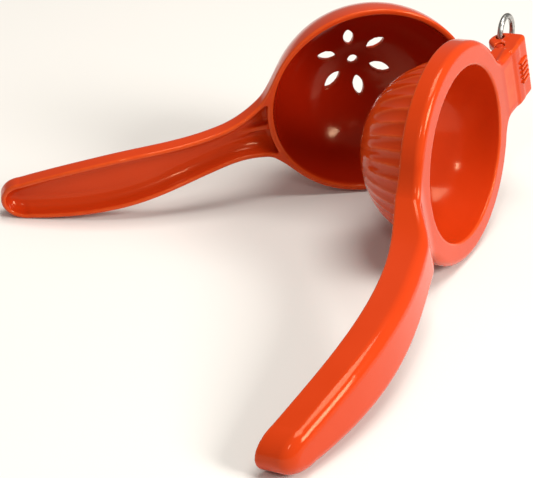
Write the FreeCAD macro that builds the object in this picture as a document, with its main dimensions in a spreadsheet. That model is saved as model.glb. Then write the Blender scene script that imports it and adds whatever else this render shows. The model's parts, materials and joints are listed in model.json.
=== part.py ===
import FreeCAD, Part
import math
import os

import Sketcher
from FreeCAD import Placement, Rotation, Vector

# A hand-held citrus press lying on its side, half open.
#
# Both arms are drawn in one arm frame, as they sit when the press is closed:
#   origin  centre of the strainer bowl's rim
#   +X      from the bowl towards the handles
#   +Z      out of the bowl's mouth, towards the press arm
#   Y       along the hinge pin
# place_on_table() then opens the press arm and lays the whole press on its side on Z = 0.

SIZES = (
    # bowl and ring
    ("rim_radius", 43.0, "inside radius of the bowl at its rim"),
    ("bowl_depth", 38.2, "depth of the bowl inside"),
    ("bowl_wall", 2.6, "thickness of the bowl"),
    ("rim_gap", 1.0, "gap between ring and rim when closed"),
    ("ring_overhang", 0.8, "how far the ring stands out beyond the bowl"),
    ("ring_height", 9.2, "height of the ring"),
    ("ring_edge", 2.0, "rounding of the ring's back edge"),
    ("dome_gap", 3.5, "space for peel between dome and bowl"),
    ("dome_wall", 2.6, "thickness of the dome"),
    ("flute_count", 40, "flutes round the dome"),
    ("flute_radius", 5.0, "section radius of a flute"),
    ("flute_depth", 0.8, "depth of a flute at the ring"),
    # drain holes
    ("drain_radius", 2.2, "round hole in the bowl's middle"),
    ("petal_circle", 12.9, "radius on which the petal holes are centred"),
    ("petal_length", 9.0, "petal hole along the radius"),
    ("petal_width", 4.2, "petal hole across the radius"),
    ("petal_count", 6, "petal holes"),
    # handles
    ("handle_wall", 2.4, "side wall of both handle channels"),
    ("handle_floor", 2.8, "floor of both handle channels"),
    ("lower_reach", 165.5, "bowl centre to the strainer handle's tip"),
    ("lower_root", 22.0, "strainer handle, half width inside the bowl"),
    ("lower_neck", 8.8, "strainer handle, half width of the neck"),
    ("lower_grip", 12.5, "strainer handle, half width of the grip"),
    ("lower_tip", 9.2, "strainer handle, half width near the tip"),
    ("lower_arch", 9.4, "height of the strainer handle's arch"),
    ("lower_depth", 10.0, "depth of the strainer handle"),
    ("lower_corner", 4.0, "rounding of the strainer handle's back"),
    ("upper_reach", 179.0, "bowl centre to the press handle's tip"),
    ("upper_root", 22.0, "press handle, half width inside the ring"),
    ("upper_neck", 9.6, "press handle, half width of the neck"),
    ("upper_grip", 11.8, "press handle, half width of the grip"),
    ("upper_tip", 8.6, "press handle, half width near the tip"),
    ("upper_arch", 11.5, "height of the press handle's arch"),
    ("upper_depth", 14.5, "depth of the press handle"),
    ("upper_corner", 5.0, "rounding of the press handle's back"),
    ("handle_gap", 2.4, "gap between the handles when closed"),
    ("rib_thickness", 2.2, "rib in the strainer handle's neck"),
    ("rib_length", 26.0, "length of that rib"),
    ("rib_drop", 3.0, "top of that rib below the bowl's rim"),
    ("rib_slope", 2.8, "fall of that rib's top over its length"),
    # hinge
    ("hinge_gap", 7.0, "gap between the ring and the knuckle"),
    ("hinge_height", 4.3, "hinge axis above the bowl's rim"),
    ("block_width", 28.6, "hinge block along the pin"),
    ("block_margin", 5.6, "hinge block beyond the knuckle"),
    ("block_corner", 1.6, "bevel of the hinge block's far edge"),
    ("block_plate", 3.4, "back plate of the hinge block"),
    ("nose_radius", 7.0, "rounded foot of the ears round the pin"),
    ("slot_overrun", 1.0, "how far the slot's cutter runs past the block"),
    ("ear_thickness", 4.4, "one ear along the pin"),
    ("knuckle_radius", 4.8, "knuckle of the strainer arm"),
    ("knuckle_side_gap", 0.3, "knuckle to each ear"),
    ("web_width", 7.8, "web between bowl and knuckle, along the pin"),
    ("web_thickness", 4.6, "web between bowl and knuckle"),
    ("pin_radius", 2.0, "hinge pin"),
    ("pin_clearance", 0.05, "pin to knuckle bore"),
    ("badge_bars", 5, "plain raised bars on the block's back"),
    ("badge_bar_width", 1.2, "width of a bar"),
    ("badge_bar_height", 0.35, "height of a bar above the block"),
    # hanging ring
    ("wire_radius", 1.25, "wire of the hanging ring"),
    ("wire_clearance", 0.6, "wire to its hole"),
    ("eye_radius", 7.0, "hanging ring to the middle of its wire"),
    ("hole_margin", 1.4, "middle of the ring hole beyond the knuckle"),
    ("hole_drop", 2.1, "ring hole below the pin"),
    ("eye_rise", 0.1, "ring centre beyond the ear's middle"),
    # attitude
    ("open_angle", 53.0, "angle between the arms at rest"),
)

# Where the cross-sections of a handle stand, from its root (0) to its tip (1), and
# the shares at which its neck, grip and rounded tip lie.
SECTION_SHARES = (0.0, 0.045, 0.09, 0.15, 0.24, 0.42, 0.6, 0.78, 0.92, 0.965, 0.99, 0.999)
NECK_SHARE = 0.24
GRIP_SHARE = 0.62
TIP_SHARE = 0.92
# The press arm's channel starts clear of its ring.
CHANNEL_SHARE = 0.09
# Up to here a handle stays level with the rim plane.
ARCH_START = 0.09
# The strainer handle's channel is cut from this far above its rim.
OPEN_SIDE = "2"
# How far a handle's root reaches inside the bowl's rim. The sweep of a flute from the dome's
# widest circle to where it fades out, and how far its cutter runs on past there, in degrees.
ROOT_INSET = 8.0
FLUTE_SWEEP = 65
FLUTE_OVERRUN = 10
# The gap in the hanging ring, in degrees, and the spacing of points taken from surfaces.
SPLIT_ANGLE = 4
SURFACE_STEP = 0.2


def fill_sheet(doc):
    """The driving sizes, one row each: what it is, its number and its alias."""
    sheet = doc.addObject("Spreadsheet::Sheet", "sizes")
    for row, (alias, value, note) in enumerate(SIZES, start=1):
        sheet.set(f"A{row}", note)
        sheet.set(f"B{row}", str(value))
        sheet.setAlias(f"B{row}", alias)
    doc.recompute()
    return sheet


def size(name):
    """Expression that reads one size from the sheet."""
    return f"sizes.{name}"


# Expressions shared by pieces that fit each other. The bowl and the dome are parts of
# spheres with one centre, which lies above the rim plane.
SPHERE_RADIUS = "((sizes.rim_radius ^ 2 + sizes.bowl_depth ^ 2) / (2 * sizes.bowl_depth))"
SPHERE_HEIGHT = f"({SPHERE_RADIUS} - sizes.bowl_depth)"
BOWL_OUTER = f"({SPHERE_RADIUS} + sizes.bowl_wall)"
DOME_OUTER = f"({SPHERE_RADIUS} - sizes.dome_gap)"
DOME_INNER = f"({DOME_OUTER} - sizes.dome_wall)"
RIM_OUTER = f"sqrt({BOWL_OUTER} ^ 2 - {SPHERE_HEIGHT} ^ 2)"
RING_OUTER = f"({RIM_OUTER} + sizes.ring_overhang)"
RING_BACK = "(sizes.rim_gap + sizes.ring_height)"
SLOT_WIDTH = "(sizes.block_width - 2 * sizes.ear_thickness)"
KNUCKLE_WIDTH = f"({SLOT_WIDTH} - 2 * sizes.knuckle_side_gap)"
HINGE_REACH = f"({RING_OUTER} + sizes.hinge_gap + sizes.knuckle_radius)"
HOLE_ACROSS = f"(-{HINGE_REACH} - sizes.knuckle_radius - sizes.hole_margin)"
BLOCK_REACH = "(sizes.knuckle_radius + sizes.block_margin)"
HOLE_UP = "(sizes.hinge_height - sizes.hole_drop)"
BLOCK_BACK = ("(sizes.hinge_height + sizes.knuckle_radius + sizes.knuckle_side_gap"
              " + sizes.block_plate)")


def origin_plane(body, role):
    return next(item for item in body.Origin.OriginFeatures if item.Role == role)


def add_feature(body, kind, name, **expressions):
    """A PartDesign feature with its properties bound; __ in a keyword stands for a dot."""
    feature = body.newObject("PartDesign::" + kind, name)
    for key, text in expressions.items():
        feature.setExpression(key.replace("__", "."), text)
    return feature


def add_sketch(body, name, role, offset=None):
    """A sketch on one of the body's own origin planes, moved along its normal by offset."""
    sketch = body.newObject("Sketcher::SketchObject", name)
    sketch.AttachmentSupport = (origin_plane(body, role), "")
    sketch.MapMode = "FlatFace"
    if offset is not None:
        sketch.setExpression("AttachmentOffset.Base.z", offset)
    return sketch


def value_of(sketch, expression):
    """The number an expression gives now, for a sketch's first drawing."""
    result = sketch.evalExpression(expression)
    return float(getattr(result, "Value", result))


def dimension(sketch, kind, *where, expression):
    """One dimension of a sketch, driven by an expression."""
    number = value_of(sketch, expression)
    index = sketch.addConstraint(Sketcher.Constraint(kind, *where, number))
    sketch.setExpression(f"Constraints[{index}]", expression)


def draw_polygon(sketch, corners):
    """Closed straight outline; each corner is a pair of expressions measured from the origin."""
    points = [Vector(value_of(sketch, across), value_of(sketch, up), 0) for across, up in corners]
    first = sketch.GeometryCount
    for index, point in enumerate(points):
        sketch.addGeometry(Part.LineSegment(point, points[(index + 1) % len(points)]), False)
    for index in range(len(points)):
        following = first + (index + 1) % len(points)
        sketch.addConstraint(Sketcher.Constraint("Coincident", first + index, 2, following, 1))
    for index, (across, up) in enumerate(corners):
        dimension(sketch, "DistanceX", -1, 1, first + index, 1, expression=across)
        dimension(sketch, "DistanceY", -1, 1, first + index, 1, expression=up)


def draw_circle(sketch, across, up, radius):
    """Circle whose centre and radius are expressions."""
    centre = Vector(value_of(sketch, across), value_of(sketch, up), 0)
    circle = Part.Circle(centre, Vector(0, 0, 1), value_of(sketch, radius))
    index = sketch.addGeometry(circle, False)
    dimension(sketch, "DistanceX", -1, 1, index, 3, expression=across)
    dimension(sketch, "DistanceY", -1, 1, index, 3, expression=up)
    dimension(sketch, "Radius", index, expression=radius)


def draw_channel(sketch, half_width, rim, back, corner):
    """Outline across a handle: square at its rim and rounded at its back."""
    half = value_of(sketch, half_width)
    rim_z = value_of(sketch, rim)
    back_z = value_of(sketch, back)
    round_radius = value_of(sketch, corner)
    way = 1 if back_z > rim_z else -1
    knee = back_z - way * round_radius
    inner = half - round_radius
    slant = round_radius * math.sqrt(0.5)
    right = (Vector(half, knee, 0), Vector(inner + slant, knee + way * slant, 0), Vector(inner, back_z, 0))
    left = (Vector(-inner, back_z, 0), Vector(-inner - slant, knee + way * slant, 0), Vector(-half, knee, 0))
    rim_left = Vector(-half, rim_z, 0)
    rim_right = Vector(half, rim_z, 0)
    sketch.addGeometry([
        Part.LineSegment(rim_left, rim_right),
        Part.LineSegment(rim_right, right[0]),
        Part.Arc(*right),
        Part.LineSegment(right[2], left[0]),
        Part.Arc(*left),
        Part.LineSegment(left[2], rim_left),
    ], False)
    # An arc always runs anticlockwise, so which of its ends is met first depends on the side.
    enter, leave = (1, 2) if way > 0 else (2, 1)
    for constraint in (
        ("Coincident", 0, 2, 1, 1),
        ("Tangent", 1, 2, 2, enter),
        ("Tangent", 2, leave, 3, 1),
        ("Tangent", 3, 2, 4, enter),
        ("Tangent", 4, leave, 5, 1),
        ("Coincident", 5, 2, 0, 1),
        ("Horizontal", 3),
        ("Vertical", 1),
        ("Vertical", 5),
        ("Equal", 2, 4),
        ("Symmetric", 0, 1, 0, 2, -2),
    ):
        sketch.addConstraint(Sketcher.Constraint(*constraint))
    dimension(sketch, "DistanceX", 0, 1, 0, 2, expression=f"2 * ({half_width})")
    dimension(sketch, "DistanceY", -1, 1, 0, 1, expression=rim)
    dimension(sketch, "DistanceY", -1, 1, 3, 1, expression=back)
    dimension(sketch, "Radius", 2, expression=corner)


def half_width_at(arm, share):
    """Half width of a handle: flares from neck to root, swells at the grip, rounds off at the tip."""
    root, neck, grip, tip = (size(f"{arm}_{part}") for part in ("root", "neck", "grip", "tip"))
    if share < NECK_SHARE:
        blend = (1 - share / NECK_SHARE) ** 2
        return f"({neck} + ({root} - {neck}) * {blend:.5f})"
    if share < GRIP_SHARE:
        blend = (1 - math.cos(math.pi * (share - NECK_SHARE) / (GRIP_SHARE - NECK_SHARE))) / 2
        return f"({neck} + ({grip} - {neck}) * {blend:.5f})"
    if share < TIP_SHARE:
        blend = ((share - GRIP_SHARE) / (TIP_SHARE - GRIP_SHARE)) ** 2
        return f"({grip} + ({tip} - {grip}) * {blend:.5f})"
    return f"({tip} * {tip_rounding(share):.5f})"


def arch_at(arm, share):
    """Height of a handle's arch, which is zero up to the ring's edge and at the tip."""
    along = max(0, share - ARCH_START) / (1 - ARCH_START)
    return f"(sizes.{arm}_arch * {math.sin(math.pi * along):.5f})"


def handle_loft(body, name, arm, kind, inset, rim, back, root_back=None, first_share=0.0):
    """Loft along a handle, shrunk sideways by inset; rim and back are measured from the arch.

    Where root_back is given, the back starts there and rises to its height over the neck.
    """
    root = f"(sizes.rim_radius - {ROOT_INSET})"
    sections = []
    for number, share in enumerate(SECTION_SHARES, start=1):
        if share < first_share:
            continue
        sketch = add_sketch(body, f"{name}_section_{number}", "YZ_Plane",
                            f"{root} + (sizes.{arm}_reach - {inset} - {root}) * {share}")
        half_width = f"({half_width_at(arm, share)} - {inset} * {tip_rounding(share):.5f})"
        corner = f"min(sizes.{arm}_corner - {inset} * 0.6; {half_width} * 0.8)"
        rise = 0 if root_back is None else max(0, 1 - share / NECK_SHARE) ** 2
        height = back if rise == 0 else f"({back} + ({root_back} - {back}) * {rise:.5f})"
        arch = arch_at(arm, share)
        draw_channel(sketch, half_width, f"{arch} + {rim}", f"{arch} + {height}", corner)
        sections.append(sketch)
    loft = body.newObject("PartDesign::" + kind, name)
    loft.Profile = sections[0]
    loft.Sections = sections[1:]
    loft.Ruled = False
    return loft


def tip_rounding(share):
    """1 along a handle, falling to 0 round its tip as an ellipse does."""
    if share < TIP_SHARE:
        return 1.0
    return math.sqrt(1 - ((share - TIP_SHARE) / (1 - TIP_SHARE)) ** 2)


def pad_both_ways(body, sketch, name, width, kind="Pad"):
    """Pad or pocket that runs evenly to both sides of its sketch."""
    feature = add_feature(body, kind, name, Length=width)
    feature.Profile = sketch
    feature.Midplane = True
    return feature


def cap_latitude(radius, height):
    """Latitude at which a sphere centred SPHERE_HEIGHT up is cut by the plane at a height."""
    return f"asin(({height} - {SPHERE_HEIGHT}) / {radius})"


def add_sphere_cap(body, name, kind, radius, top):
    """The part of a bowl-centred sphere below a plane."""
    cap = add_feature(body, kind, name, Radius=radius, Angle2=cap_latitude(radius, top))
    cap.AttachmentSupport = (origin_plane(body, "XY_Plane"), "")
    cap.MapMode = "FlatFace"
    cap.Angle1 = -90
    cap.Angle3 = 360
    cap.setExpression("AttachmentOffset.Base.z", SPHERE_HEIGHT)
    return cap


def strainer_arm(doc):
    """Bowl with drain holes, channel handle and hinge knuckle, one casting."""
    body = doc.addObject("PartDesign::Body", "StrainerArm")
    body.Label = "strainer_arm"
    floor = "(sizes.handle_floor - sizes.lower_depth)"
    handle_loft(body, "lower_handle", "lower", "AdditiveLoft", "0", "0", "-sizes.lower_depth")
    handle_loft(body, "lower_channel", "lower", "SubtractiveLoft", "sizes.handle_wall", OPEN_SIDE, floor)
    ring_seat(body)
    neck_rib(body)
    add_sphere_cap(body, "bowl_outside", "AdditiveSphere", BOWL_OUTER, "0")
    add_sphere_cap(body, "bowl_inside", "SubtractiveSphere", SPHERE_RADIUS, "0")
    hinge_knuckle(body)
    drain_holes(body)
    doc.recompute()
    return body


def ring_seat(body):
    """Level seat across the handle's root, on which the ring closes."""
    seat = add_sketch(body, "ring_seat_outline", "XY_Plane")
    draw_circle(seat, "0", "0", f"{RING_OUTER} + sizes.rim_gap")
    pocket = add_feature(body, "Pocket", "ring_seat", Length="sizes.lower_arch")
    pocket.Profile = seat
    pocket.Reversed = True


def neck_rib(body):
    """Rib along the floor of the strainer handle's neck, up against the bowl."""
    start = "sizes.rim_radius - sizes.bowl_wall / 2"
    end = "sizes.rim_radius + sizes.rib_length"
    sketch = add_sketch(body, "neck_rib_outline", "XZ_Plane")
    draw_polygon(sketch, (
        (start, "-sizes.rib_drop"),
        (end, "-sizes.rib_drop - sizes.rib_slope"),
        (end, "-sizes.lower_depth * 0.7"),
        (start, "-sizes.lower_depth * 0.9"),
    ))
    return pad_both_ways(body, sketch, "neck_rib", "sizes.rib_thickness")


def hinge_knuckle(body):
    """Knuckle round the pin, the web that carries it on the bowl, and its bore."""
    web = add_sketch(body, "web_outline", "XZ_Plane")
    in_bowl_wall = f"-{RIM_OUTER} + sizes.bowl_wall / 2"
    draw_polygon(web, (
        (in_bowl_wall, "0"),
        (f"-{HINGE_REACH} + sizes.knuckle_radius / 2", "0"),
        (f"-{HINGE_REACH} + sizes.knuckle_radius / 5", "sizes.hinge_height - sizes.knuckle_radius * 0.95"),
        (in_bowl_wall, "-sizes.web_thickness"),
    ))
    pad_both_ways(body, web, "web", "sizes.web_width")
    barrel = add_sketch(body, "knuckle_outline", "XZ_Plane")
    draw_circle(barrel, f"-{HINGE_REACH}", "sizes.hinge_height", "sizes.knuckle_radius")
    pad_both_ways(body, barrel, "knuckle", KNUCKLE_WIDTH)
    bore = add_sketch(body, "knuckle_bore_outline", "XZ_Plane")
    draw_circle(bore, f"-{HINGE_REACH}", "sizes.hinge_height", "sizes.pin_radius + sizes.pin_clearance")
    pad_both_ways(body, bore, "knuckle_bore", "sizes.block_width", kind="Pocket")


def drain_holes(body):
    """One round hole in the middle of the bowl and a ring of petal-shaped holes."""
    through = "sizes.bowl_depth * 3"
    middle = add_sketch(body, "drain_middle_outline", "XY_Plane")
    draw_circle(middle, "0", "0", "sizes.drain_radius")
    pad_both_ways(body, middle, "drain_middle", through, kind="Pocket")
    petal = add_sketch(body, "drain_petal_outline", "XY_Plane")
    petal.setExpression("AttachmentOffset.Rotation.Angle", "180 / sizes.petal_count")
    draw_ellipse(petal, "sizes.petal_circle", "sizes.petal_length / 2", "sizes.petal_width / 2")
    pocket = pad_both_ways(body, petal, "drain_petal", through, kind="Pocket")
    repeat_round(body, pocket, "drain_petals", "sizes.petal_count")


def draw_ellipse(sketch, across, major, minor):
    """Ellipse on the sketch's X axis with its long axis along X."""
    centre = Vector(value_of(sketch, across), 0, 0)
    long_half = value_of(sketch, major)
    short_half = value_of(sketch, minor)
    tip = centre + Vector(long_half, 0, 0)
    side = centre + Vector(0, short_half, 0)
    index = sketch.addGeometry(Part.Ellipse(tip, side, centre), False)
    sketch.exposeInternalGeometry(index)
    dimension(sketch, "DistanceX", -1, 1, index, 3, expression=across)
    sketch.addConstraint(Sketcher.Constraint("PointOnObject", index, 3, -1))
    sketch.addConstraint(Sketcher.Constraint("Horizontal", index + 1))
    dimension(sketch, "DistanceX", index + 1, 1, index + 1, 2, expression=f"2 * {major}")
    dimension(sketch, "DistanceY", index + 2, 1, index + 2, 2, expression=f"2 * {minor}")


def repeat_round(body, feature, name, count):
    """Polar pattern about the bowl's axis."""
    body.Document.recompute()
    pattern = body.newObject("PartDesign::PolarPattern", name)
    pattern.Originals = [feature]
    pattern.Axis = (origin_plane(body, "Z_Axis"), [""])
    pattern.Angle = 360
    pattern.setExpression("Occurrences", count)
    body.Tip = pattern
    return pattern


def press_arm(doc):
    """Ring, fluted hollow dome, channel handle and forked hinge block, one casting."""
    body = doc.addObject("PartDesign::Body", "PressArm")
    body.Label = "press_arm"
    fluted_dome(body)
    press_ring(body)
    floor = "(sizes.handle_gap + sizes.upper_depth - sizes.handle_floor)"
    back = "(sizes.handle_gap + sizes.upper_depth)"
    handle_loft(body, "upper_handle", "upper", "AdditiveLoft", "0", "sizes.handle_gap", back, RING_BACK)
    handle_loft(body, "upper_channel", "upper", "SubtractiveLoft", "sizes.handle_wall", "0", floor,
                f"({RING_BACK} - sizes.handle_floor)", CHANNEL_SHARE)
    hinge_block(body)
    hollow_cup(body)
    doc.recompute()
    return body


def hollow_cup(body):
    """Hollow of the dome and the way into it from the back, clear of the handle's root."""
    add_sphere_cap(body, "dome_inside", "SubtractiveSphere", DOME_INNER, RING_BACK)
    mouth = add_sketch(body, "cup_mouth_outline", "XY_Plane", RING_BACK)
    draw_circle(mouth, "0", "0", f"sqrt({DOME_INNER} ^ 2 - ({RING_BACK} - {SPHERE_HEIGHT}) ^ 2)")
    pocket = add_feature(body, "Pocket", "cup_mouth", Length="sizes.upper_arch + sizes.upper_depth")
    pocket.Profile = mouth
    pocket.Reversed = True


def fluted_dome(body):
    """Dome with scooped flutes that fade out before its tip."""
    add_sphere_cap(body, "dome_outside", "AdditiveSphere", DOME_OUTER, "sizes.rim_gap + 1")
    fade = f"(sizes.flute_depth / sin({FLUTE_SWEEP}))"
    scoop = add_sketch(body, "flute_outline", "XY_Plane", f"{SPHERE_HEIGHT} - {fade}")
    draw_circle(scoop, f"-({DOME_OUTER} + sizes.flute_radius - sizes.flute_depth)", "0", "sizes.flute_radius")
    groove = body.newObject("PartDesign::Groove", "flute")
    groove.Profile = scoop
    groove.ReferenceAxis = (scoop, ["V_Axis"])
    groove.Angle = FLUTE_SWEEP + FLUTE_OVERRUN
    groove.Reversed = True
    repeat_round(body, groove, "flutes", "sizes.flute_count")


def press_ring(body):
    """Ring that stands on the bowl's rim, with its back edge rounded."""
    blank = add_sketch(body, "ring_outline", "XY_Plane", "sizes.rim_gap")
    draw_circle(blank, "0", "0", RING_OUTER)
    ring = add_feature(body, "Pad", "ring", Length="sizes.ring_height")
    ring.Profile = blank
    body.Document.recompute()
    back = value_of(blank, RING_BACK)
    edges = [f"Edge{number}" for number, edge in enumerate(ring.Shape.Edges, start=1)
             if abs(edge.BoundBox.ZMin - back) < 0.01 and abs(edge.BoundBox.ZMax - back) < 0.01]
    fillet = add_feature(body, "Fillet", "ring_back_edge", Radius="sizes.ring_edge")
    fillet.Base = (ring, edges)


def hinge_block(body):
    """Block round the knuckle: two ears, a back plate, the pin's bores and the ring hole."""
    pin_x = f"-{HINGE_REACH}"
    far_end = f"{pin_x} - {BLOCK_REACH}"
    foot = "sizes.hinge_height - sizes.nose_radius"
    low_ear = "sizes.hinge_height - sizes.nose_radius * 0.8"
    outline = add_sketch(body, "block_outline", "XZ_Plane")
    draw_polygon(outline, (
        ("-sizes.rim_radius", "sizes.rim_gap"),
        ("-sizes.rim_radius", RING_BACK),
        (f"{pin_x} + sizes.pin_radius", BLOCK_BACK),
        (f"{far_end} + sizes.block_corner", BLOCK_BACK),
        (far_end, f"{BLOCK_BACK} - sizes.block_corner"),
        (far_end, "sizes.hinge_height - sizes.hole_drop"),
        (f"{pin_x} - sizes.nose_radius", low_ear),
        (f"{pin_x} - sizes.nose_radius / 2", foot),
        (f"{pin_x} + sizes.nose_radius / 7", low_ear),
        (f"{pin_x} + sizes.nose_radius", "sizes.rim_gap"),
    ))
    pad_both_ways(body, outline, "block", "sizes.block_width")
    slot_roof = "sizes.hinge_height + sizes.knuckle_radius + sizes.knuckle_side_gap"
    slot_mouth = f"{foot} - sizes.slot_overrun"
    slot = add_sketch(body, "slot_outline", "XZ_Plane")
    draw_polygon(slot, (
        (f"-{RING_OUTER}", slot_mouth),
        (f"-{RING_OUTER}", slot_roof),
        (f"{far_end} - sizes.slot_overrun", slot_roof),
        (f"{far_end} - sizes.slot_overrun", slot_mouth),
    ))
    pad_both_ways(body, slot, "slot", SLOT_WIDTH, kind="Pocket")
    bore = add_sketch(body, "pin_bore_outline", "XZ_Plane")
    draw_circle(bore, pin_x, "sizes.hinge_height", "sizes.pin_radius")
    pad_both_ways(body, bore, "pin_bore", "sizes.block_width", kind="Pocket")
    hole = add_sketch(body, "ring_hole_outline", "XZ_Plane")
    draw_circle(hole, HOLE_ACROSS, HOLE_UP, "sizes.wire_radius + sizes.wire_clearance")
    drill = add_feature(body, "Pocket", "ring_hole", Length="sizes.block_width")
    drill.Profile = hole
    drill.Reversed = True
    badge_bars(body)


def badge_bars(body):
    """A row of plain raised bars across the back of the hinge block."""
    middle = f"(-{HINGE_REACH} - {BLOCK_REACH} * 0.4)"
    half_length = f"({BLOCK_REACH} / 3)"
    half_width = "sizes.badge_bar_width / 2"
    first = "(-sizes.badge_bar_width * (sizes.badge_bars - 1))"
    outline = add_sketch(body, "badge_bar_outline", "XY_Plane", f"{BLOCK_BACK} - sizes.badge_bar_height")
    draw_polygon(outline, (
        (f"{middle} - {half_length}", f"{first} - {half_width}"),
        (f"{middle} + {half_length}", f"{first} - {half_width}"),
        (f"{middle} + {half_length}", f"{first} + {half_width}"),
        (f"{middle} - {half_length}", f"{first} + {half_width}"),
    ))
    bar = add_feature(body, "Pad", "badge_bar", Length="2 * sizes.badge_bar_height")
    bar.Profile = outline
    body.Document.recompute()
    row = body.newObject("PartDesign::LinearPattern", "badge_row")
    row.Originals = [bar]
    row.Direction = (origin_plane(body, "Y_Axis"), [""])
    row.setExpression("Length", "2 * sizes.badge_bar_width * (sizes.badge_bars - 1)")
    row.setExpression("Occurrences", "sizes.badge_bars")
    body.Tip = row


def hinge_pin(doc, sheet):
    """Plain pin, flush with both ears."""
    pin = doc.addObject("Part::Cylinder", "HingePin")
    pin.Label = "hinge_pin"
    pin.setExpression("Radius", "sizes.pin_radius")
    pin.setExpression("Height", "sizes.block_width")
    start = hinge_axis(sheet) + Vector(0, sheet.block_width / 2, 0)
    pin.Placement = Placement(start, Rotation(Vector(1, 0, 0), 90))
    return pin


def hanging_ring(doc, sheet):
    """Split ring of round wire, threaded through the hole in one ear."""
    ring = doc.addObject("Part::Torus", "HangingRing")
    ring.Label = "hanging_ring"
    ring.setExpression("Radius1", "sizes.eye_radius")
    ring.setExpression("Radius2", "sizes.wire_radius")
    ring.Angle3 = 360 - SPLIT_ANGLE
    ear_middle = (sheet.block_width - sheet.ear_thickness) / 2
    reach = math.sqrt(sheet.eye_radius ** 2 - (sheet.ear_thickness / 2) ** 2)
    centre = ring_hole(sheet) + Vector(-reach, -ear_middle - sheet.eye_rise, 0)
    ring.Placement = Placement(centre, Rotation(Vector(0, 0, 1), 90 + SPLIT_ANGLE / 2))
    return ring


def hinge_axis(sheet):
    """Middle of the hinge pin, in the arm frame."""
    return Vector(-value_of(sheet, HINGE_REACH), 0, sheet.hinge_height)


def ring_hole(sheet):
    """Where the ring hole's axis meets the middle plane, in the arm frame."""
    return hinge_axis(sheet) - Vector(sheet.knuckle_radius + sheet.hole_margin, 0, sheet.hole_drop)


def opened(sheet):
    """Turn of the press arm about the hinge axis from closed to open."""
    return Placement(Vector(), Rotation(Vector(0, -1, 0), sheet.open_angle), hinge_axis(sheet))


def resting_normal(head, lower, upper):
    """Upward normal of the plane on which the head and the two handles' tips rest.

    The three lowest points give a plane, the plane gives new lowest points, and so on.
    """
    normal = Vector(0, -1, 0)
    for _ in range(30):
        feet = [min(points, key=normal.dot) for points in (head, lower, upper)]
        normal = (feet[1] - feet[0]).cross(feet[2] - feet[0]).normalize()
        if normal.y > 0:
            normal = -normal
    return normal


def place_on_table(sheet, lower_pieces, upper_pieces):
    """Open the press, lay it down on Z = 0 and centre it, with the lower handle towards -X."""
    turn = opened(sheet)
    for piece in upper_pieces:
        piece.Placement = turn.multiply(piece.Placement)
    lower_points = surface_points(lower_pieces)
    upper_points = surface_points(upper_pieces)
    back_to_closed = turn.inverse()
    half_way = sheet.lower_reach / 2
    head = [p for p in lower_points if p.x < half_way]
    head += [p for p in upper_points if back_to_closed.multVec(p).x < half_way]
    lower_tip = [p for p in lower_points if p.x >= half_way]
    upper_tip = [p for p in upper_points if back_to_closed.multVec(p).x >= half_way]
    up = resting_normal(head, lower_tip, upper_tip)
    along = Vector(-1, 0, 0)
    across = (along - up * along.dot(up)).normalize()
    beside = up.cross(across)
    lay = Placement(FreeCAD.Matrix(
        across.x, across.y, across.z, 0,
        beside.x, beside.y, beside.z, 0,
        up.x, up.y, up.z, 0,
        0, 0, 0, 1,
    ))
    points = [lay.multVec(p) for p in lower_points + upper_points]
    middle = [(min(values) + max(values)) / 2 for values in zip(*((p.x, p.y) for p in points))]
    lay.Base = Vector(-middle[0], -middle[1], -min(p.z for p in points))
    for piece in lower_pieces + upper_pieces:
        piece.Placement = lay.multiply(piece.Placement)
    return lay


def surface_points(pieces):
    """Points spread over the pieces' surfaces."""
    return [point for piece in pieces for point in piece.Shape.tessellate(SURFACE_STEP)[0]]


def check_document(doc, pieces):
    """Stop on any failed object, and on any piece that isn't one sound solid."""
    for item in doc.Objects:
        if "Invalid" in item.State or "Error" in item.State:
            raise RuntimeError(f"{item.Name} failed: {item.State}")
    for piece in pieces:
        shape = piece.Shape
        if shape.isNull() or not shape.isValid() or len(shape.Solids) != 1:
            raise RuntimeError(f"{piece.Label} is not one sound solid")


def main():
    doc = FreeCAD.newDocument("citrus_press")
    sheet = fill_sheet(doc)
    lower = [strainer_arm(doc)]
    upper = [press_arm(doc), hinge_pin(doc, sheet), hanging_ring(doc, sheet)]
    doc.recompute()
    check_document(doc, lower + upper)
    place_on_table(sheet, lower, upper)
    doc.recompute()
    check_document(doc, lower + upper)
    os.makedirs("parts", exist_ok=True)
    for piece in lower + upper:
        piece.Shape.exportStep(f"parts/{piece.Label}.step")
        print(piece.Label, round(piece.Shape.Volume), "mm3")


main()
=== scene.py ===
import json
import math

import bpy
import numpy as np
from mathutils import Matrix, Vector


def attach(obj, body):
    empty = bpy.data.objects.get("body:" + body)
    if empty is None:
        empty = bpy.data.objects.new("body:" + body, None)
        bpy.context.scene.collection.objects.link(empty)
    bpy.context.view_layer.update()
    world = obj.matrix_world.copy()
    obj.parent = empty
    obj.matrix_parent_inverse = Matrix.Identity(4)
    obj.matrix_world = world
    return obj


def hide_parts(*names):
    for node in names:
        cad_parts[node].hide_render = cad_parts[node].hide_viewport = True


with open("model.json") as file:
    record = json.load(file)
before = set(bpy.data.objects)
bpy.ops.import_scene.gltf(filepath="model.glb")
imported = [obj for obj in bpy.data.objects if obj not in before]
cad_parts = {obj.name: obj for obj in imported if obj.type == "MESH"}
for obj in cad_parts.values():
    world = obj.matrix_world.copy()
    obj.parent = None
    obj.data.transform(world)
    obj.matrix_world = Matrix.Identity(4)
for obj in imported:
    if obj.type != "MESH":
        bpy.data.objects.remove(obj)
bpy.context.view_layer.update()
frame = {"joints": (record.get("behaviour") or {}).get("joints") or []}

# An enamelled citrus press. Each arm is one casting, so each is one seamless mesh, found as the
# zero surface of a signed distance. Sizes are millimetres in the arm frame of the closed press:
# origin at the centre of the bowl's rim, +X towards the handles, +Z out of the bowl's mouth,
# Y along the hinge pin.
MM = 0.001

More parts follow.
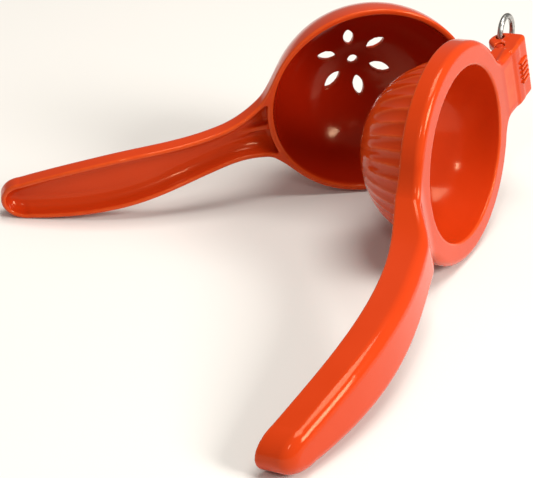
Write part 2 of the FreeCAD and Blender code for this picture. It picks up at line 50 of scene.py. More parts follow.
# bowl, dome and ring
SPHERE_RADIUS = 43.3
SPHERE_HEIGHT = 5.1
BOWL_WALL = 2.6
DOME_RADIUS = 38.9
CUP_RADIUS = 36.5
RING_RADIUS = 46.4
RING_FRONT = 1.0
RING_BACK = 10.4
FLUTES = 40
FLUTE_RADIUS = 5.5
FLUTE_DEPTH = 0.75
FLUTE_END = math.radians(44)
DRAIN_RADIUS = 2.2
PETALS = 6
PETAL_CIRCLE = 12.9
PETAL_HALF_LENGTH = 4.7
PETAL_HALF_WIDTH = 2.25
PETAL_POINT = 0.75

# handles
ROOT = 35.0
NECK_SHARE = 0.24
GRIP_SHARE = 0.62
TIP_SHARE = 0.92
ARCH_START = 0.09
HANDLE_WALL = 2.1
HANDLE_FLOOR = 2.8
LOWER = dict(reach=165.3, root=22.0, neck=8.8, grip=12.5, tip=9.2, arch=9.4, depth=10.0)
UPPER = dict(reach=178.8, root=22.0, neck=9.6, grip=11.8, tip=8.6, arch=11.5, depth=14.5)
LOWER_CORNER = 5.0
LOWER_TROUGH = 6.0
UPPER_CORNER = 5.0
HANDLE_GAP = 2.4
CHANNEL_CLEAR = 1.5
RIM_RUN = 38.0
BACK_START = 40.0
BACK_RUN = 26.0
RIB = dict(half=1.1, start=41.0, end=69.0, top=-3.0, fall=2.8)

# hinge
PIN_X = -58.2
PIN_Z = 4.3
PIN_RADIUS = 2.0
PIN_CLEARANCE = 0.05
PIN_SIDES = 96
KNUCKLE_RADIUS = 4.8
KNUCKLE_HALF = 9.6
WEB_HALF = 3.9
BLOCK_HALF = 14.3
SLOT_HALF = 9.9
SLOT_ROOF = 9.4
BLOCK_END = -68.6
BLOCK_BACK = 12.8
BRIDGE_MIDDLE = -48.0
BRIDGE_HALF = 8.0
RING_HOLE = (-64.4, 2.2)
RING_HOLE_RADIUS = 1.85
EYE_RADIUS = 7.0
EYE_REACH = 6.645
EYE_RISE = 0.1
EYE_GAP = math.radians(3.2)
WIRE_RADIUS = 1.25
BARS = 5
BAR_PITCH = 2.4
BAR_HALF = (3.4, 0.6)
BAR_HEIGHT = 0.35
BAR_SINK = 1.2
BAR_MIDDLE = -62.2

# side profiles at the hinge: corners in (x, z), anticlockwise
WEB_PROFILE = ((-57.2, -0.3), (-55.8, 0.0), (-44.0, 0.0), (-44.0, -4.6))
EAR_PROFILE = (
    (-56.0, 2.9), (-54.0, 9.0), (-55.0, 11.6), (BLOCK_END + 1.2, BLOCK_BACK - 0.1),
    (BLOCK_END, BLOCK_BACK - 1.6), (BLOCK_END, 2.3), (-65.6, -1.4), (-61.6, -2.6),
)
BRIDGE_PROFILE = (
    (-42.0, 0.5), (-42.0, 8.9), (-56.0, 11.5), (-60.0, 11.8), (-60.0, 3.4), (-51.0, 0.7),
)

# roundings of the casting
BORE_EDGE = 0.05
CRISP_EDGE = 0.3
HOLE_EDGE = 0.4
THIN_EDGE = 0.6
BRIDGE_EDGE = 0.8
EDGE = 1.0
EAR_EDGE = 1.4
BLOCK_EDGE = 1.6
SOFT_EDGE = 3.2
FILLET = 5.0
SHOULDER = 4.0
SMALL_FILLET = 1.5

# meshing
GRID = 0.65
BAR_GRID = 0.2
COARSE = 4
STRAINER_BOX = ((-65, -48, -43), (168, 48, 13))
PRESS_BOX = ((-71, -49, -37), (181, 49, 31))
BAR_BOX = ((-67, -7, 11), (-58, 7, 14))


# ---------------------------------------------------------------- the arm frames

def unit(vector):
    return vector / np.linalg.norm(vector)


JOINTS = {joint["name"]: joint for joint in frame["joints"]}


def arm_frames():
    """4 x 4 matrices from the arm frame, in millimetres, to the row frame at rest."""
    hinge = JOINTS["press_hinge"]
    along_pin = -unit(np.array(hinge["axis"]))
    across = unit(np.cross((0, 1, 0), along_pin))
    if across[0] > 0:
        across = -across
    out = np.cross(across, along_pin)
    turn = np.column_stack((across, along_pin, out))
    opening = math.radians(-hinge["range_deg"][0])
    swing = np.array(Matrix.Rotation(opening, 3, Vector(-along_pin)))
    frames = []
    for rotation in (turn, swing @ turn):
        whole = np.eye(4)
        whole[:3, :3] = rotation * MM
        whole[:3, 3] = np.array(hinge["pos_m"]) - whole[:3, :3] @ (PIN_X, 0, PIN_Z)
        frames.append(whole)
    return frames


STRAINER_FRAME, PRESS_FRAME = arm_frames()


# ---------------------------------------------------------------- distances

def unite(a, b, radius):
    """Union of two solids, with a fillet of that radius."""
    bump = np.hypot(np.maximum(radius - a, 0), np.maximum(radius - b, 0))
    return np.maximum(radius, np.minimum(a, b)) - bump


def common(a, b, radius):
    """Intersection of two solids, with its edge rounded."""
    bump = np.hypot(np.maximum(radius + a, 0), np.maximum(radius + b, 0))
    return np.minimum(-radius, np.maximum(a, b)) + bump


def cut(a, b, radius):
    return common(a, -b, radius)


def ease(share):
    """Smooth step from 0 to 1."""
    share = np.clip(share, 0, 1)
    return share * share * (3 - 2 * share)


def slope_free(rise, along):
    """Factor that turns a height above a curved line into a distance from it."""
    step = 0.5
    slope = (rise(along + step) - rise(along - step)) / (2 * step)
    return 1 / np.sqrt(1 + slope * slope)


def half_width(arm, x):
    """Half width of a handle: a flared root, a neck, a grip and a tip."""
    share = np.clip((x - ROOT) / (arm["reach"] - ROOT), 0, 1)
    flare = (1 - np.minimum(share / NECK_SHARE, 1)) ** 2
    swell = np.clip((share - NECK_SHARE) / (GRIP_SHARE - NECK_SHARE), 0, 1)
    swell = (1 - np.cos(np.pi * swell)) / 2
    taper = np.clip((share - GRIP_SHARE) / (TIP_SHARE - GRIP_SHARE), 0, 1) ** 2
    width = arm["neck"] + (arm["root"] - arm["neck"]) * flare
    width = width + (arm["grip"] - arm["neck"]) * swell
    return width + (arm["tip"] - arm["grip"]) * taper


def arch(arm, x):
    """Height of a handle's arch."""
    share = np.clip((x - ROOT) / (arm["reach"] - ROOT), 0, 1)
    along = np.maximum(share - ARCH_START, 0) / (1 - ARCH_START)
    return arm["arch"] * np.sin(np.pi * along)


def outline(arm, x, y):
    """Distance from a handle's outline seen from above."""
    def width(at):
        return half_width(arm, at)
    side = (np.abs(y) - width(x)) * slope_free(width, x)
    end_length = (arm["reach"] - ROOT) * (1 - TIP_SHARE)
    end_start = arm["reach"] - end_length
    along = np.maximum(x - end_start, 0) / end_length
    across = y / arm["tip"]
    level = np.sqrt(along ** 2 + across ** 2) + 1e-6
    steep = np.sqrt((along / end_length) ** 2 + (across / arm["tip"]) ** 2) / level + 1e-6
    end = (level - 1) / steep
    return np.where(x > end_start, end, side)


def disc(x, z, centre, radius):
    return np.hypot(x - centre[0], z - centre[1]) - radius


def facet(x, z, start, end):
    """Distance out of a straight face; the solid is on the left of the way from start to end."""
    way = unit(np.array(end, float) - start)
    return (x - start[0]) * way[1] - (z - start[1]) * way[0]


def convex(x, z, corners, radius):
    """Rounded convex shape whose corners are listed anticlockwise."""
    shape = facet(x, z, corners[-1], corners[0])
    for start, end in zip(corners, corners[1:]):
        shape = common(shape, facet(x, z, start, end), radius)
    return shape


def strainer(p):
    """Bowl, channel handle with its neck rib, knuckle and drain holes."""
    x, y, z = p.T
    ball = np.sqrt(x * x + y * y + (z - SPHERE_HEIGHT) ** 2)
    bowl = ball - SPHERE_RADIUS - BOWL_WALL

    def rim(at):
        return arch(LOWER, at)

    level = slope_free(rim, x)
    side = outline(LOWER, x, y)
    back = (rim(x) - LOWER["depth"] - z) * level
    handle = common(common(side, back, LOWER_CORNER), ROOT - x, EDGE)
    body = unite(bowl, handle, FILLET)
    body = common(body, (z - np.where(x > ROOT, rim(x), 0)) * level, EDGE)

    floor = (rim(x) - LOWER["depth"] + HANDLE_FLOOR - z) * level
    channel = common(side + HANDLE_WALL, floor, LOWER_TROUGH)
    channel = common(channel, -bowl, SMALL_FILLET)
    rib_top = RIB["top"] - RIB["fall"] * (x - RIB["start"]) / (RIB["end"] - RIB["start"])
    rib = common(np.abs(y) - RIB["half"], z - rib_top, THIN_EDGE)
    rib = common(rib, x - RIB["end"], SMALL_FILLET)
    channel = cut(channel, rib, SMALL_FILLET)
    body = cut(body, channel, EDGE)

    body = unite(body, knuckle(x, y, z), SMALL_FILLET)
    body = cut(body, ball - SPHERE_RADIUS, EDGE)
    return cut(body, drain(x, y), HOLE_EDGE)


def knuckle(x, y, z):
    """Barrel round the pin and the web that carries it."""
    barrel = common(disc(x, z, (PIN_X, PIN_Z), KNUCKLE_RADIUS), np.abs(y) - KNUCKLE_HALF, THIN_EDGE)
    web = convex(x, z, WEB_PROFILE, CRISP_EDGE)
    web = common(web, np.abs(y) - WEB_HALF, EDGE)
    shape = unite(barrel, web, SMALL_FILLET)
    return cut(shape, disc(x, z, (PIN_X, PIN_Z), PIN_RADIUS + PIN_CLEARANCE), CRISP_EDGE)


def drain(x, y):
    """Prisms of the round hole and the petals round it."""
    reach = np.hypot(x, y)
    middle = reach - DRAIN_RADIUS
    pitch = 2 * np.pi / PETALS
    angle = np.mod(np.arctan2(y, x), pitch) - pitch / 2
    along = (reach * np.cos(angle) - PETAL_CIRCLE) / PETAL_HALF_LENGTH
    across = np.abs(reach * np.sin(angle)) / PETAL_HALF_WIDTH + 1e-6
    power = 1 / PETAL_POINT
    level = across ** power + along ** 2 - 1
    steep = np.hypot(power * across ** (power - 1) / PETAL_HALF_WIDTH,
                     2 * along / PETAL_HALF_LENGTH)
    return np.minimum(middle, level / (steep + 1e-3))


def press(p):
    """Ring, fluted hollow dome, channel handle and hinge block."""
    x, y, z = p.T
    reach = np.hypot(x, y)
    ball = np.sqrt(x * x + y * y + (z - SPHERE_HEIGHT) ** 2)
    side = outline(UPPER, x, y)
    plan = unite(reach - RING_RADIUS, common(side, ROOT - x, EDGE), SHOULDER)
    bridge = common(np.abs(y) - BLOCK_HALF, np.abs(x - BRIDGE_MIDDLE) - BRIDGE_HALF, EDGE)
    plan = unite(plan, bridge, FILLET)

    def front(at):
        rise = ease((at - RING_RADIUS) / RIM_RUN)
        return RING_FRONT + (HANDLE_GAP - RING_FRONT) * rise + arch(UPPER, at)

    def back(at):
        rise = ease((at - BACK_START) / BACK_RUN)
        return RING_BACK + (HANDLE_GAP + UPPER["depth"] - RING_BACK) * rise + arch(UPPER, at)

    above = (z - back(x)) * slope_free(back, x)
    below = (front(x) - z) * slope_free(front, x)
    corner = SOFT_EDGE + (UPPER_CORNER - SOFT_EDGE) * ease((x - RING_RADIUS) / RIM_RUN)
    body = common(common(plan, above, corner), below, EDGE)

    channel = common(side + HANDLE_WALL, above + HANDLE_FLOOR, UPPER_CORNER - 2)
    channel = common(channel, RING_RADIUS + CHANNEL_CLEAR - reach, SMALL_FILLET)
    body = cut(body, channel, EDGE)
    body = unite(body, block(x, y, z), SMALL_FILLET)
    dome = common(ball - DOME_RADIUS, ball - DOME_RADIUS + flutes(x, y, z), CRISP_EDGE)
    dome = common(dome, z - RING_FRONT - 2, EDGE)
    body = unite(body, dome, THIN_EDGE)
    body = cut(body, np.where(z < SPHERE_HEIGHT, ball, reach) - CUP_RADIUS, EDGE)
    slot = common(np.abs(y) - SLOT_HALF, z - SLOT_ROOF, THIN_EDGE)
    slot = common(slot, x + RING_RADIUS, THIN_EDGE)
    body = cut(body, slot, THIN_EDGE)
    body = cut(body, disc(x, z, (PIN_X, PIN_Z), PIN_RADIUS), BORE_EDGE)
    hole = common(disc(x, z, RING_HOLE, RING_HOLE_RADIUS), y, CRISP_EDGE)
    return cut(body, hole, HOLE_EDGE)


def flutes(x, y, z):
    """Depth of the scoops round the dome, which run out towards its pole."""
    pitch = 2 * np.pi / FLUTES
    angle = np.mod(np.arctan2(y, x), pitch) - pitch / 2
    reach = np.hypot(x, y)
    latitude = np.arctan2(SPHERE_HEIGHT - z, reach)
    depth = FLUTE_DEPTH * (1 - np.clip(latitude / FLUTE_END, 0, 1) ** 4)
    return depth - (reach * np.sin(angle)) ** 2 / (2 * FLUTE_RADIUS)


def block(x, y, z):
    """Hinge block: ears with a rounded foot, and the bridge that joins them to the ring."""
    ears = convex(x, z, EAR_PROFILE, EAR_EDGE)
    bridge = convex(x, z, BRIDGE_PROFILE, BRIDGE_EDGE)
    shape = unite(ears, bridge, SMALL_FILLET)
    return common(shape, np.abs(y) - BLOCK_HALF, BLOCK_EDGE)


def bars(p):
    """Plain raised bars across the back of the hinge block."""
    x, y, z = p.T
    number = np.clip(np.round(y / BAR_PITCH), -(BARS // 2), BARS // 2)
    across = np.abs(y - number * BAR_PITCH) - BAR_HALF[1]
    along = np.abs(x - BAR_MIDDLE) - BAR_HALF[0]
    plan = common(along, across, 0.5)
    bar = common(plan, z - BLOCK_BACK - BAR_HEIGHT, 0.25)
    return common(bar, BLOCK_BACK - BAR_SINK - z, 0.2)


# ---------------------------------------------------------------- meshing

def grid_field(distance, low, counts, step):
    """Distances on a grid; fine ones only near the surface, coarse ones elsewhere."""
    blocks = -(-counts // COARSE)
    centres = [low[k] + step * (COARSE * np.arange(blocks[k]) + (COARSE - 1) / 2) for k in range(3)]
    grid = np.stack(np.meshgrid(*centres, indexing="ij"), axis=-1).reshape(-1, 3)
    coarse = distance(grid).reshape(blocks)
    near = np.abs(coarse) < 2 * COARSE * step
    for axis in range(3):
        coarse = np.repeat(coarse, COARSE, axis=axis)
        near = np.repeat(near, COARSE, axis=axis)
    field = coarse[:counts[0], :counts[1], :counts[2]].copy()
    near = near[:counts[0], :counts[1], :counts[2]]
    field[near] = distance(low + step * np.argwhere(near))
    return field


def surface_net(distance, low, high, step):
    """Vertices and quads on the zero surface, one vertex in each grid cell that it crosses."""
    low = np.array(low, float)
    counts = np.ceil((np.array(high) - low) / step).astype(int) + 1
    field = grid_field(distance, low, counts, step)
    inside = field < 0
    corners = [(i, j, k) for i in (0, 1) for j in (0, 1) for k in (0, 1)]

    def shifted(array, corner):
        return array[tuple(slice(c, n - 1 + c) for c, n in zip(corner, counts))]

    filled = sum(shifted(inside, corner).astype(np.int8) for corner in corners)
    cells = np.argwhere((filled > 0) & (filled < 8))
    number = -np.ones(counts, int)
    number[tuple(cells.T)] = np.arange(len(cells))
    total = np.zeros((len(cells), 3))
    crossings = np.zeros(len(cells))
    for start in corners:
        for axis in range(3):
            if start[axis]:
                continue
            end = tuple(1 if k == axis else c for k, c in enumerate(start))
            first = field[tuple((cells + start).T)]
            last = field[tuple((cells + end).T)]
            crossed = (first < 0) != (last < 0)
            share = np.where(crossed, first / np.where(crossed, first - last, 1), 0)
            point = cells + start + share[:, None] * (np.array(end) - start)
            total[crossed] += point[crossed]
            crossings += crossed
    vertices = low + step * total / crossings[:, None]
    quads = []
    for axis in range(3):
        one, two = (axis + 1) % 3, (axis + 2) % 3
        first = tuple(slice(0, counts[k] - 1) if k == axis else slice(1, counts[k] - 1)
                      for k in range(3))
        last = tuple(slice(1, counts[k]) if k == axis else slice(1, counts[k] - 1)
                     for k in range(3))
        for sign in (True, False):
            edges = np.argwhere((inside[first] == sign) & (inside[last] != sign))
            edges[:, one] += 1
            edges[:, two] += 1
            ring = []
            for back_one, back_two in ((1, 1), (0, 1), (0, 0), (1, 0)):
                cell = edges.copy()
                cell[:, one] -= back_one
                cell[:, two] -= back_two
                ring.append(number[tuple(cell.T)])
            quads.append(np.column_stack(ring if sign else ring[::-1]))
    return vertices, np.concatenate(quads)


def gradient(distance, points, reach=0.05):
    parts = []
    for axis in range(3):
        offset = np.zeros(3)
        offset[axis] = reach
        parts.append((distance(points + offset) - distance(points - offset)) / (2 * reach))
    return np.column_stack(parts)


def settle(distance, vertices, quads, step, rounds=4):
    """Even out the vertices along the surface and bring them back onto it."""
    pairs = np.concatenate([quads[:, [k, (k + 1) % 4]] for k in range(4)])
    pairs = np.concatenate((pairs, pairs[:, ::-1]))
    count = np.bincount(pairs[:, 0], minlength=len(vertices))[:, None]
    for turn in range(rounds):
        if turn < rounds - 1:
            middle = np.column_stack([
                np.bincount(pairs[:, 0], vertices[pairs[:, 1], k], len(vertices)) for k in range(3)
            ]) / count
            vertices = (vertices + middle) / 2
        for _ in range(2):
            slope = gradient(distance, vertices)
            steep = np.maximum((slope * slope).sum(1), 0.2)
            move = -(distance(vertices) / steep)[:, None] * slope
            length = np.linalg.norm(move, axis=1)[:, None]
            vertices = vertices + move * np.minimum(1, step / np.maximum(length, 1e-9))
    return vertices


def edge_share(distance, vertices):
    """How convex the surface is at each vertex: 0.5 where flat, up to 1 on an outer edge."""
    reach = 0.9
    total = -6 * distance(vertices)
    for axis in range(3):
        offset = np.zeros(3)
        offset[axis] = reach
        total += distance(vertices + offset) + distance(vertices - offset)
    return np.clip(0.5 + total / reach * 0.6, 0, 1)


def bowl_shade_share(vertices):
    """1 on the inside of the bowl, falling to 0 at its rim: the share of painted shade there."""
    reach = np.linalg.norm(vertices - (0, 0, SPHERE_HEIGHT), axis=1)
    return ease((SPHERE_RADIUS + 0.8 - reach) / 0.6) * ease(-vertices[:, 2] / 3)


def no_share(vertices):
    return np.zeros(len(vertices))


def solid_piece(name, distance, box, step, place, painted_shade=no_share):
    """A closed smooth mesh of a distance's zero surface, put in the row frame.

    Its "edge" attribute says how convex it is, and "bowl" where painted shade darkens the base
    colour.
    """
    vertices, quads = surface_net(distance, *box, step)
    vertices = settle(distance, vertices, quads, step)
    normals = gradient(distance, vertices)
    shares = {"edge": edge_share(distance, vertices), "bowl": painted_shade(vertices)}
    world = vertices @ place[:3, :3].T + place[:3, 3]
    mesh = bpy.data.meshes.new(name)
    mesh.vertices.add(len(world))
    mesh.vertices.foreach_set("co", world.astype(np.float32).ravel())
    mesh.loops.add(quads.size)
    mesh.loops.foreach_set("vertex_index", quads.astype(np.int32).ravel())
    mesh.polygons.add(len(quads))
    mesh.polygons.foreach_set("loop_start", np.arange(0, quads.size, 4, dtype=np.int32))
    mesh.update(calc_edges=True)
    mesh.validate()
    mesh.shade_smooth()
    for attribute, values in shares.items():
        marks = mesh.attributes.new(attribute, "FLOAT", "POINT")
        marks.data.foreach_set("value", values.astype(np.float32))
    turned = normals @ (place[:3, :3] / MM).T
    turned /= np.linalg.norm(turned, axis=1)[:, None]
    mesh.normals_split_custom_set_from_vertices(turned.tolist())
    return link(name, mesh)


def link(name, mesh):
    piece = bpy.data.objects.new(name, mesh)
    bpy.context.scene.collection.objects.link(piece)
    return piece


def lathe(name, profile, start, axis, sides):
    """Closed mesh turned from (distance along, radius) pairs about an axis, in metres."""
    side = unit(np.cross(axis, (0.3, 0.5, 0.8)))
    other = np.cross(axis, side)
    vertices = []
    for along, radius in profile:
        for turn in range(sides):
            angle = 2 * math.pi * turn / sides
            out = side * math.cos(angle) + other * math.sin(angle)
            vertices.append(start + (axis * along + out * radius) * MM)
    faces = []
    for row in range(len(profile) - 1):
        for turn in range(sides):
            after = (turn + 1) % sides
            low, high = row * sides, (row + 1) * sides
            faces.append((low + turn, low + after, high + after, high + turn))
    faces.append(tuple(reversed(range(sides))))
    faces.append(tuple(range((len(profile) - 1) * sides, len(profile) * sides)))
    mesh = bpy.data.meshes.new(name)
    mesh.from_pydata([tuple(v) for v in vertices], [], faces)
    mesh.shade_smooth()
    return link(name, mesh)


def wire_ring(name, centre, along, across, out):
    """Ring of round wire whose two ends meet at a small gap, with rounded ends."""
    gap = EYE_GAP
    steps, sides, cap = 160, 32, 6
    vertices = []
    rows = [(gap / 2 + (2 * math.pi - gap) * row / steps, 1.0, 0.0) for row in range(steps + 1)]
    ends = [(math.cos(t), math.sin(t)) for t in (math.pi / 2 * k / cap for k in range(1, cap))]
    first, last = rows[0][0], rows[-1][0]
    chamfer = 0.25
    rows = ([(first, 1 - chamfer * (1 - a), -chamfer * b) for a, b in ends[::-1]] + rows
            + [(last, 1 - chamfer * (1 - a), chamfer * b) for a, b in ends])
    for angle, share, beyond in rows:
        spoke = along * math.cos(angle) + across * math.sin(angle)
        tangent = across * math.cos(angle) - along * math.sin(angle)
        middle = centre + spoke * EYE_RADIUS * MM + tangent * beyond * MM
        for turn in range(sides):
            around = 2 * math.pi * turn / sides
            offset = spoke * math.cos(around) + out * math.sin(around)
            vertices.append(middle + offset * WIRE_RADIUS * share * MM)
    faces = []
    for row in range(len(rows) - 1):
        for turn in range(sides):
            after = (turn + 1) % sides
            low, high = row * sides, (row + 1) * sides
            faces.append((low + turn, high + turn, high + after, low + after))
    faces.append(tuple(range(sides)))
    faces.append(tuple(reversed(range((len(rows) - 1) * sides, len(rows) * sides))))
    mesh = bpy.data.meshes.new(name)
    mesh.from_pydata([tuple(v) for v in vertices], [], faces)
    mesh.shade_smooth()
    return link(name, mesh)


# ---------------------------------------------------------------- materials

BODY_COLOURS = ((0.54, 0.039, 0.004), (0.58, 0.046, 0.007))
THIN_COLOUR = (0.66, 0.090, 0.016)
# painted shade: concave places get this darker base colour
HOLLOW_SHADE_COLOUR = (0.42, 0.014, 0.002)
# painted shade: the darker, deeper red base colour inside the bowl stands in for the shadow there
BOWL_SHADE_COLOUR = (0.30, 0.002, 0.0004)
GLOSS_TINT = (1.0, 0.62, 0.36, 1)
PIN_COLOUR = (0.62, 0.62, 0.63)
RING_COLOUR = (0.50, 0.50, 0.49)
FLOOR_COLOURS = ((0.74, 0.74, 0.74), (0.78, 0.78, 0.78))


def new_material(name):
    material = bpy.data.materials.new(name)
    material.use_nodes = True
    return material, material.node_tree.nodes, material.node_tree.links


def noise(nodes, links, space, scale, detail=3.0):
    texture = nodes.new("ShaderNodeTexNoise")
    texture.inputs["Scale"].default_value = scale
    texture.inputs["Detail"].default_value = detail
    links.new(space.outputs["Object"], texture.inputs["Vector"])
    return texture.outputs["Fac"]


def spread(nodes, links, value, low, high, to_low, to_high):
    """Map a value from one range to another."""
    node = nodes.new("ShaderNodeMapRange")
    node.inputs["From Min"].default_value = low
    node.inputs["From Max"].default_value = high
    node.inputs["To Min"].default_value = to_low
    node.inputs["To Max"].default_value = to_high
    links.new(value, node.inputs["Value"])
    return node.outputs["Result"]


def mixed(nodes, links, share, first, second):
    """Mix of two colours; each is an RGB triple or a socket."""
    node = nodes.new("ShaderNodeMix")
    node.data_type = "RGBA"
    links.new(share, node.inputs["Factor"])
    for name, colour in (("A", first), ("B", second)):
        socket = next(s for s in node.inputs if s.name == name and s.type == "RGBA")
        if isinstance(colour, tuple):
            socket.default_value = (*colour, 1)
        else:
            links.new(colour, socket)
    return next(s for s in node.outputs if s.type == "RGBA")


def product(nodes, links, first, second):
    node = nodes.new("ShaderNodeMath")
    node.operation = "MULTIPLY"
    links.new(first, node.inputs[0])
    links.new(second, node.inputs[1])
    return node.outputs["Value"]


def enamel():
    """Gloss orange-red enamel: lighter on worn edges, painted shade in hollows and in the bowl,
    orange peel.
    """
    material, nodes, links = new_material("gloss_enamel")
    shader = nodes["Principled BSDF"]
    space = nodes.new("ShaderNodeTexCoord")
    edge = nodes.new("ShaderNodeAttribute")
    edge.attribute_name = "edge"
    drift = spread(nodes, links, noise(nodes, links, space, 28.0), 0.3, 0.7, 0.0, 1.0)
    body = mixed(nodes, links, drift, *BODY_COLOURS)
    convex_edge = spread(nodes, links, edge.outputs["Fac"], 0.62, 0.95, 0.0, 0.55)
    worn = product(nodes, links, convex_edge,
                   spread(nodes, links, noise(nodes, links, space, 260.0), 0.35, 0.65, 0.5, 1.0))
    coloured = mixed(nodes, links, worn, body, THIN_COLOUR)
    # painted shade: where the surface is concave, the base colour is darkened towards the hollow
    # colour
    hollow = spread(nodes, links, edge.outputs["Fac"], 0.15, 0.42, 0.5, 0.0)
    coloured = mixed(nodes, links, hollow, coloured, HOLLOW_SHADE_COLOUR)
    # painted shade: the inside of the bowl is darkened in the base colour, standing in for its
    # shadow
    bowl = nodes.new("ShaderNodeAttribute")
    bowl.attribute_name = "bowl"
    inside = spread(nodes, links, bowl.outputs["Fac"], 0.0, 1.0, 0.0, 0.75)
    coloured = mixed(nodes, links, inside, coloured, BOWL_SHADE_COLOUR)
    links.new(coloured, shader.inputs["Base Color"])
    scuffs = noise(nodes, links, space, 90.0, 6.0)
    links.new(spread(nodes, links, scuffs, 0.35, 0.75, 0.10, 0.22), shader.inputs["Roughness"])
    shader.inputs["IOR"].default_value = 1.38
    shader.inputs["Specular Tint"].default_value = GLOSS_TINT
    shader.inputs["Coat Weight"].default_value = 0.05
    shader.inputs["Coat Roughness"].default_value = 0.04
    peel = nodes.new("ShaderNodeBump")
    peel.inputs["Strength"].default_value = 0.10
    peel.inputs["Distance"].default_value = 0.0002
    links.new(noise(nodes, links, space, 420.0, 2.0), peel.inputs["Height"])
    links.new(peel.outputs["Normal"], shader.inputs["Normal"])
    links.new(peel.outputs["Normal"], shader.inputs["Coat Normal"])
    return material


def steel(name, colour, rough):
    """Drawn steel with faint streaks and small scratches."""
    material, nodes, links = new_material(name)
    shader = nodes["Principled BSDF"]
    space = nodes.new("ShaderNodeTexCoord")
    streaks = noise(nodes, links, space, 700.0, 5.0)
    dark = tuple(c * 0.72 for c in colour)
    tone = mixed(nodes, links, spread(nodes, links, streaks, 0.35, 0.65, 0.0, 1.0), dark, colour)
    links.new(tone, shader.inputs["Base Color"])
    shader.inputs["Metallic"].default_value = 1.0
    scratches = noise(nodes, links, space, 240.0)
    links.new(spread(nodes, links, scratches, 0.3, 0.7, rough, rough + 0.14),
              shader.inputs["Roughness"])
    marks = nodes.new("ShaderNodeBump")
    marks.inputs["Strength"].default_value = 0.08
    marks.inputs["Distance"].default_value = 0.00005
    links.new(streaks, marks.inputs["Height"])
    links.new(marks.outputs["Normal"], shader.inputs["Normal"])
    return material


def pale_floor():
    """Matt white surface with a barely uneven tone."""
    material, nodes, links = new_material("pale_floor")
    shader = nodes["Principled BSDF"]
    space = nodes.new("ShaderNodeTexCoord")
    tone = mixed(nodes, links, noise(nodes, links, space, 3.0), *FLOOR_COLOURS)
    links.new(tone, shader.inputs["Base Color"])
    shader.inputs["Roughness"].default_value = 0.9
    return material


# ---------------------------------------------------------------- pieces

ENAMEL = enamel()
PIN_STEEL = steel("pin_steel_plain", PIN_COLOUR, 0.32)
RING_STEEL = steel("ring_steel_bright", RING_COLOUR, 0.22)


def fit_out(piece, body, slot, material, *nodes):
    piece.data.materials.append(material)
    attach(piece, body)
    if nodes:
        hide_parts(*nodes)


def make_arms():
    lower = solid_piece("strainer_casting", strainer, STRAINER_BOX, GRID, STRAINER_FRAME,
                        bowl_shade_share)
    fit_out(lower, "strainer_body", "enamel", ENAMEL, "strainer_arm")
    upper = solid_piece("press_casting", press, PRESS_BOX, GRID, PRESS_FRAME)
    fit_out(upper, "press_body", "enamel", ENAMEL, "press_arm")
    badge = solid_piece("badge_bars", bars, BAR_BOX, BAR_GRID, PRESS_FRAME)
    fit_out(badge, "press_body", "enamel", ENAMEL)


def make_pin():
    """Pin with softly domed ends, a little below the ears and painted over with them."""
    axis = unit(PRESS_FRAME[:3, 1])
    start = PRESS_FRAME[:3, :3] @ (PIN_X, -BLOCK_HALF, PIN_Z) + PRESS_FRAME[:3, 3]
    dome = [(0.25, 0.4), (0.28, 1.0), (0.4, 1.5), (0.65, 1.85), (1.0, PIN_RADIUS)]
    length = 2 * BLOCK_HALF
    profile = dome + [(length - along, radius) for along, radius in dome[::-1]]
    pin = lathe("pin", profile, start, axis, PIN_SIDES)
    pin.data.materials.append(PIN_STEEL)
    fit_out(pin, "press_body", "pin_steel", ENAMEL, "hinge_pin")
    caps = (len(dome) - 1) * PIN_SIDES
    for polygon in pin.data.polygons:
        shaft = caps <= polygon.index < caps + PIN_SIDES
        polygon.material_index = 0 if shaft else 1


def make_ring():
    hole = Vector(JOINTS["ring_swing"]["pos_m"])
    across, along_pin, out = (Vector(unit(PRESS_FRAME[:3, k])) for k in range(3))
    centre = hole - across * EYE_REACH * MM - along_pin * EYE_RISE * MM
    ring = wire_ring("wire_ring", np.array(centre), -np.array(along_pin), np.array(across),
                     np.array(out))
    fit_out(ring, "ring_body", "ring_steel", RING_STEEL, "hanging_ring")


make_arms()
make_pin()
make_ring()


# ---------------------------------------------------------------- stage, light and camera

LAMP_COLOUR = (1.0, 0.95, 0.87)
WORLD_STRENGTH = 0.28
FLOOR_HALF = 8.0
CAMERA_AIM = (-0.0173, -0.0279, 0.0450)
CAMERA_AZIMUTH = 9.090
CAMERA_ELEVATION = 30.175
CAMERA_DISTANCE = 0.6354
CAMERA_ROLL = -0.958
CAMERA_LENS = 114.85
CAMERA_SENSOR = 36.0


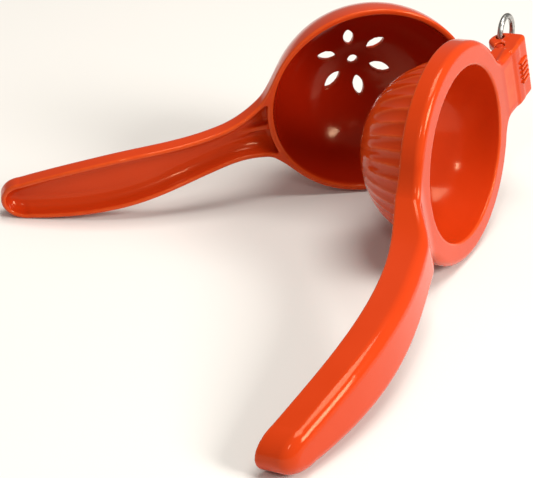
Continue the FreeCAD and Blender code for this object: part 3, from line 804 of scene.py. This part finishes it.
def make_floor():
    half = FLOOR_HALF
    mesh = bpy.data.meshes.new("floor")
    mesh.from_pydata([(-half, -half, 0), (half, -half, 0), (half, half, 0), (-half, half, 0)],
                     [], [(0, 1, 2, 3)])
    floor = link("floor", mesh)
    floor.data.materials.append(pale_floor())


def area_light(name, place, aim, size, power):
    lamp = bpy.data.lights.new(name, "AREA")
    lamp.shape = "RECTANGLE"
    lamp.size, lamp.size_y = size
    lamp.energy = power
    lamp.color = LAMP_COLOUR
    lamp_object = bpy.data.objects.new(name, lamp)
    lamp_object.location = place
    lamp_object.rotation_euler = (Vector(aim) - Vector(place)).to_track_quat("-Z", "Y").to_euler()
    bpy.context.scene.collection.objects.link(lamp_object)


def light_studio():
    world = bpy.data.worlds.new("studio")
    world.use_nodes = True
    background = world.node_tree.nodes["Background"]
    background.inputs["Color"].default_value = (*LAMP_COLOUR, 1)
    background.inputs["Strength"].default_value = WORLD_STRENGTH
    bpy.context.scene.world = world
    area_light("key", (1.15, -0.85, 0.95), (0, 0, 0.03), (0.6, 0.6), 25)
    area_light("top", (0.3, 0.0, 1.9), (0, 0, 0), (1.0, 1.0), 28)
    area_light("spark", (-0.35, -1.0, 1.1), (0, 0, 0.03), (0.08, 0.22), 2.2)


def place_camera():
    camera = bpy.data.cameras.new("camera")
    camera.lens = CAMERA_LENS
    camera.sensor_width = CAMERA_SENSOR
    azimuth, elevation = math.radians(CAMERA_AZIMUTH), math.radians(CAMERA_ELEVATION)
    forward = Vector((math.sin(azimuth) * math.cos(elevation),
                      math.cos(azimuth) * math.cos(elevation), -math.sin(elevation)))
    holder = bpy.data.objects.new("camera", camera)
    turn = forward.to_track_quat("-Z", "Y").to_matrix()
    roll = Matrix.Rotation(math.radians(CAMERA_ROLL), 3, forward)
    holder.matrix_world = Matrix.Translation(Vector(CAMERA_AIM) - forward * CAMERA_DISTANCE) @ (
        (roll @ turn).to_4x4())
    bpy.context.scene.collection.objects.link(holder)
    bpy.context.scene.camera = holder


make_floor()
light_studio()
place_camera()
bpy.context.scene.view_settings.view_transform = "Standard"
